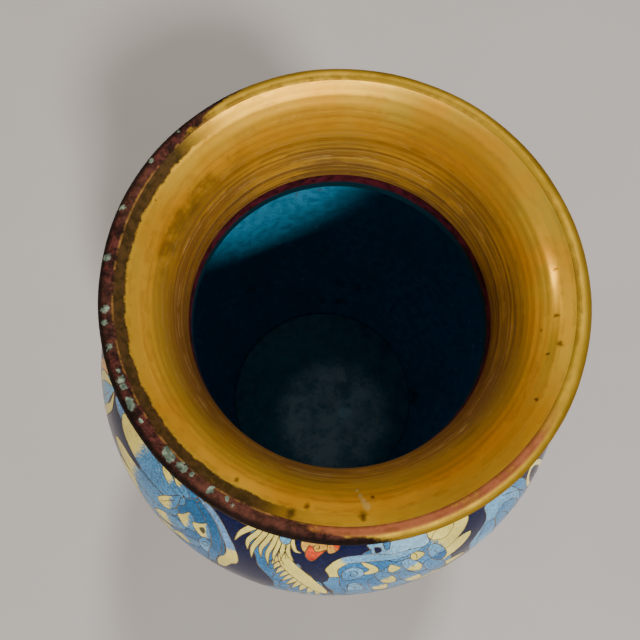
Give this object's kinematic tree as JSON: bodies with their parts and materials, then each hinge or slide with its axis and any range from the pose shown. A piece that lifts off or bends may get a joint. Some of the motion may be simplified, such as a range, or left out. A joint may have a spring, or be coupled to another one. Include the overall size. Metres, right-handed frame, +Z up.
{
  "type": "cloisonne vase",
  "caption": "Round-bellied cloisonne enamel vase with a wide flared gilt mouth, a turquoise inside, a phoenix on each side and a ring foot.",
  "frame": {"origin": "middle of the foot, on the surface that the vase stands on", "axes": "+Z up along the vase's axis; -Y towards the front phoenix"},
  "size_m": [0.182, 0.182, 0.254],
  "materials": {
    "gilt": "brushed, worn gilding with brown tarnish",
    "copper": "oxidised copper sheet",
    "gilt_wire": "thin gilt wire ground flush with the enamel",
    "navy_enamel": "polished fine-speckled enamel",
    "blue_enamel": "polished grainy enamel",
    "yellow_enamel": "polished grainy enamel",
    "orange_enamel": "polished grainy enamel",
    "red_enamel": "polished grainy enamel",
    "rose_enamel": "polished grainy enamel",
    "green_enamel": "polished grainy enamel",
    "teal_enamel": "polished grainy enamel",
    "turquoise_enamel": "plain fired lining enamel"
  },
  "bodies": {
    "root": {"lip_ring": "gilt", "neck_shell": "gilt", "shoulder_shell": "copper", "lower_shell": "copper", "base_plate": "copper", "foot_ring": "gilt", "foot_wire": "gilt_wire", "field_wire": "gilt_wire", "shoulder_wire": "gilt_wire", "neck_wire": "gilt_wire", "lip_wire": "gilt_wire", "neck_enamel": "navy_enamel", "neck_panel_enamel": "teal_enamel", "neck_panel_wires": "gilt_wire", "collar_enamel": "red_enamel", "foot_enamel": "navy_enamel", "foot_panel_enamel": "blue_enamel", "foot_panel_wires": "gilt_wire", "field_enamel": "navy_enamel", "lining_enamel": "turquoise_enamel", "floor_enamel": "turquoise_enamel", "base_enamel": "turquoise_enamel", "front_left_wing": "blue_enamel", "front_right_wing": "blue_enamel", "front_bird_neck": "yellow_enamel", "front_bird_head": "orange_enamel", "front_wattle": "red_enamel", "front_bird_body": "blue_enamel", "front_tail_plumes": "blue_enamel", "front_phoenix_wires": "gilt_wire", "back_left_wing": "blue_enamel", "back_right_wing": "blue_enamel", "back_bird_neck": "yellow_enamel", "back_bird_head": "orange_enamel", "back_wattle": "red_enamel", "back_bird_body": "blue_enamel", "back_tail_plumes": "blue_enamel", "back_phoenix_wires": "gilt_wire", "peonies": "rose_enamel", "leaves": "green_enamel", "flower_wires": "gilt_wire"}
  },
  "joints": []
}
